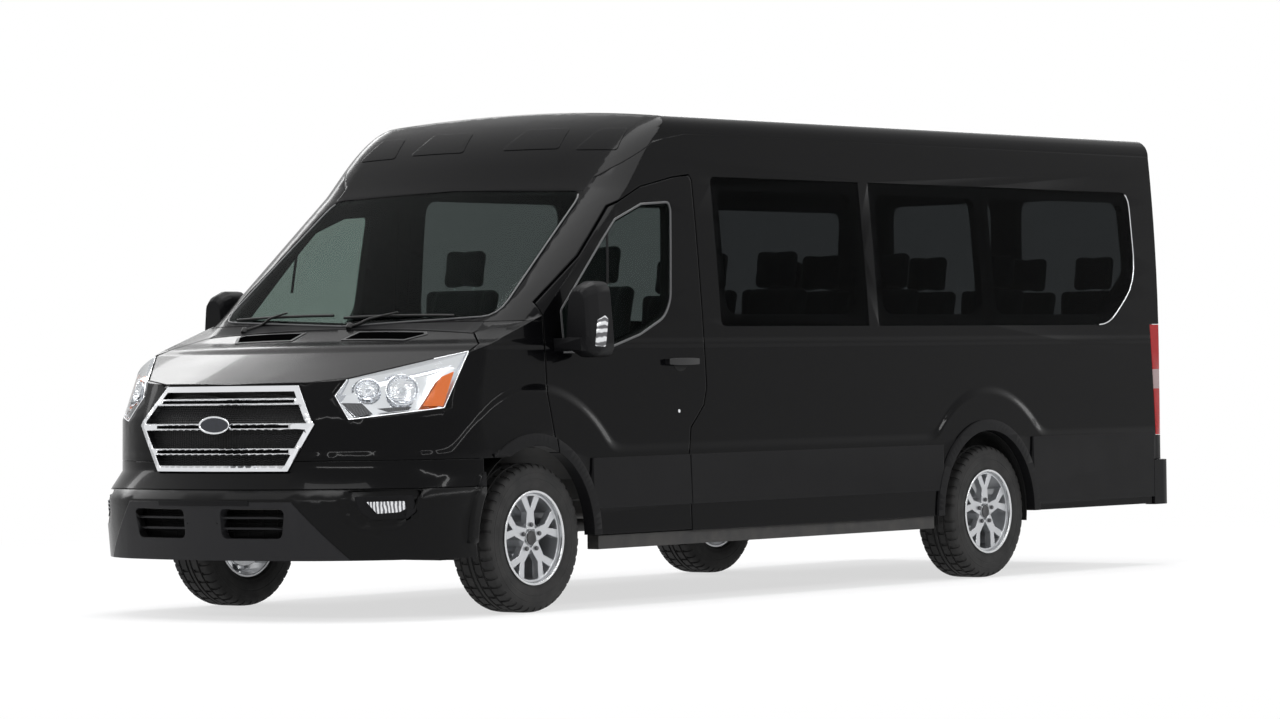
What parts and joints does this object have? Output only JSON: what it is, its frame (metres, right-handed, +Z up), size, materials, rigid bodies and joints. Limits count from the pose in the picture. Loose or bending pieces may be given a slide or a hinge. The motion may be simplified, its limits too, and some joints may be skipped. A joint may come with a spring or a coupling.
{
  "type": "minibus",
  "caption": "Long passenger van with hinged front and rear doors, opening hood, steered front wheels and rows of seats.",
  "frame": {"origin": "bottom centre of the bounding box, on the ground under the middle of the vehicle", "axes": "+X to the vehicle's left, +Y from front to rear, +Z up; the front faces -Y"},
  "size_m": [2.3984, 6.7008, 2.3529],
  "materials": {
    "paint": "gloss black",
    "trim": "satin black",
    "bumper": "satin dark grey",
    "chrome": "polished",
    "lamp": "clear",
    "tail": "red gloss",
    "glass": "tinted",
    "interior": "matt",
    "seat": "woven",
    "steel": "matt black",
    "floor": "matt",
    "rubber": "matt",
    "alloy": "silver paint",
    "engine": "cast"
  },
  "bodies": {
    "body": {"floor": "floor", "side_left": "paint", "side_right": "paint", "sliding_door_right": "paint", "roof": "paint", "cowl": "trim", "bulkhead": "floor", "front_carrier": "steel", "fenders": "paint", "front_bumper": "paint", "front_valance": "bumper", "grille": "chrome", "headlamps": "lamp", "windshield": "glass", "side_glass": "glass", "tail_lamps": "tail", "rear_bumper": "trim", "dashboard": "interior", "front_seats": "seat", "rear_seats": "seat", "front_subframe": "steel", "rear_axle": "steel", "engine": "engine", "underbody": "steel"},
    "hood": {"hood": "paint"},
    "door_left": {"front_door_left": "paint", "front_door_glass_left": "glass", "mirror_left": "trim"},
    "door_right": {"front_door_right": "paint", "front_door_glass_right": "glass", "mirror_right": "trim"},
    "rear_door_left": {"rear_door_left": "paint", "rear_door_glass_left": "glass"},
    "rear_door_right": {"rear_door_right": "paint", "rear_door_glass_right": "glass"},
    "steering_wheel": {"steering_wheel": "interior"},
    "knuckle_left": {"knuckle_left": "steel"},
    "knuckle_right": {"knuckle_right": "steel"},
    "wheel_front_left": {"rim_front_left": "alloy", "tyre_front_left": "rubber"},
    "wheel_front_right": {"rim_front_right": "alloy", "tyre_front_right": "rubber"},
    "wheel_rear_left": {"rim_rear_left": "alloy", "tyre_rear_left": "rubber"},
    "wheel_rear_right": {"rim_rear_right": "alloy", "tyre_rear_right": "rubber"}
  },
  "joints": [
    {"name": "steer_left", "type": "hinge", "parent": "body", "child": "knuckle_left", "pos_m": [0.74, -2.1795, 0.342], "axis": [0, 0, 1], "range_deg": [-35, 35]},
    {"name": "steer_right", "type": "hinge", "parent": "body", "child": "knuckle_right", "pos_m": [-0.74, -2.1795, 0.342], "axis": [0, 0, 1], "range_deg": [-35, 35]},
    {"name": "steering_wheel_turn", "type": "hinge", "parent": "body", "child": "steering_wheel", "pos_m": [0.42, -1.7095, 1.16], "axis": [0, 0.8829, 0.4695], "range_deg": [-525, 525]},
    {"name": "wheel_front_left_spin", "type": "hinge", "parent": "knuckle_left", "child": "wheel_front_left", "pos_m": [0.868, -2.1795, 0.342], "axis": [1, 0, 0], "continuous": true},
    {"name": "wheel_rear_left_spin", "type": "hinge", "parent": "body", "child": "wheel_rear_left", "pos_m": [0.868, 1.5705, 0.342], "axis": [1, 0, 0], "continuous": true},
    {"name": "door_left_swing", "type": "hinge", "parent": "body", "child": "door_left", "pos_m": [1.033, -2.1095, 0.75], "axis": [-0.0499, 0, 0.9988], "range_deg": [-70, 0]},
    {"name": "rear_door_left_swing", "type": "hinge", "parent": "body", "child": "rear_door_left", "pos_m": [0.895, 3.3205, 1.3], "axis": [0, 0, 1], "range_deg": [-170, 0]},
    {"name": "wheel_front_right_spin", "type": "hinge", "parent": "knuckle_right", "child": "wheel_front_right", "pos_m": [-0.868, -2.1795, 0.342], "axis": [1, 0, 0], "continuous": true},
    {"name": "wheel_rear_right_spin", "type": "hinge", "parent": "body", "child": "wheel_rear_right", "pos_m": [-0.868, 1.5705, 0.342], "axis": [1, 0, 0], "continuous": true},
    {"name": "door_right_swing", "type": "hinge", "parent": "body", "child": "door_right", "pos_m": [-1.033, -2.1095, 0.75], "axis": [0.0499, 0, 0.9988], "range_deg": [0, 70]},
    {"name": "rear_door_right_swing", "type": "hinge", "parent": "body", "child": "rear_door_right", "pos_m": [-0.895, 3.3205, 1.3], "axis": [0, 0, 1], "range_deg": [0, 170]},
    {"name": "hood_lift", "type": "hinge", "parent": "body", "child": "hood", "pos_m": [0, -2.3875, 1.316], "axis": [-1, 0, 0], "range_deg": [0, 60]}
  ],
  "couplings": [
    {"joint": "steer_right", "follows": "steer_left", "ratio": 1},
    {"joint": "steering_wheel_turn", "follows": "steer_left", "ratio": 15}
  ]
}
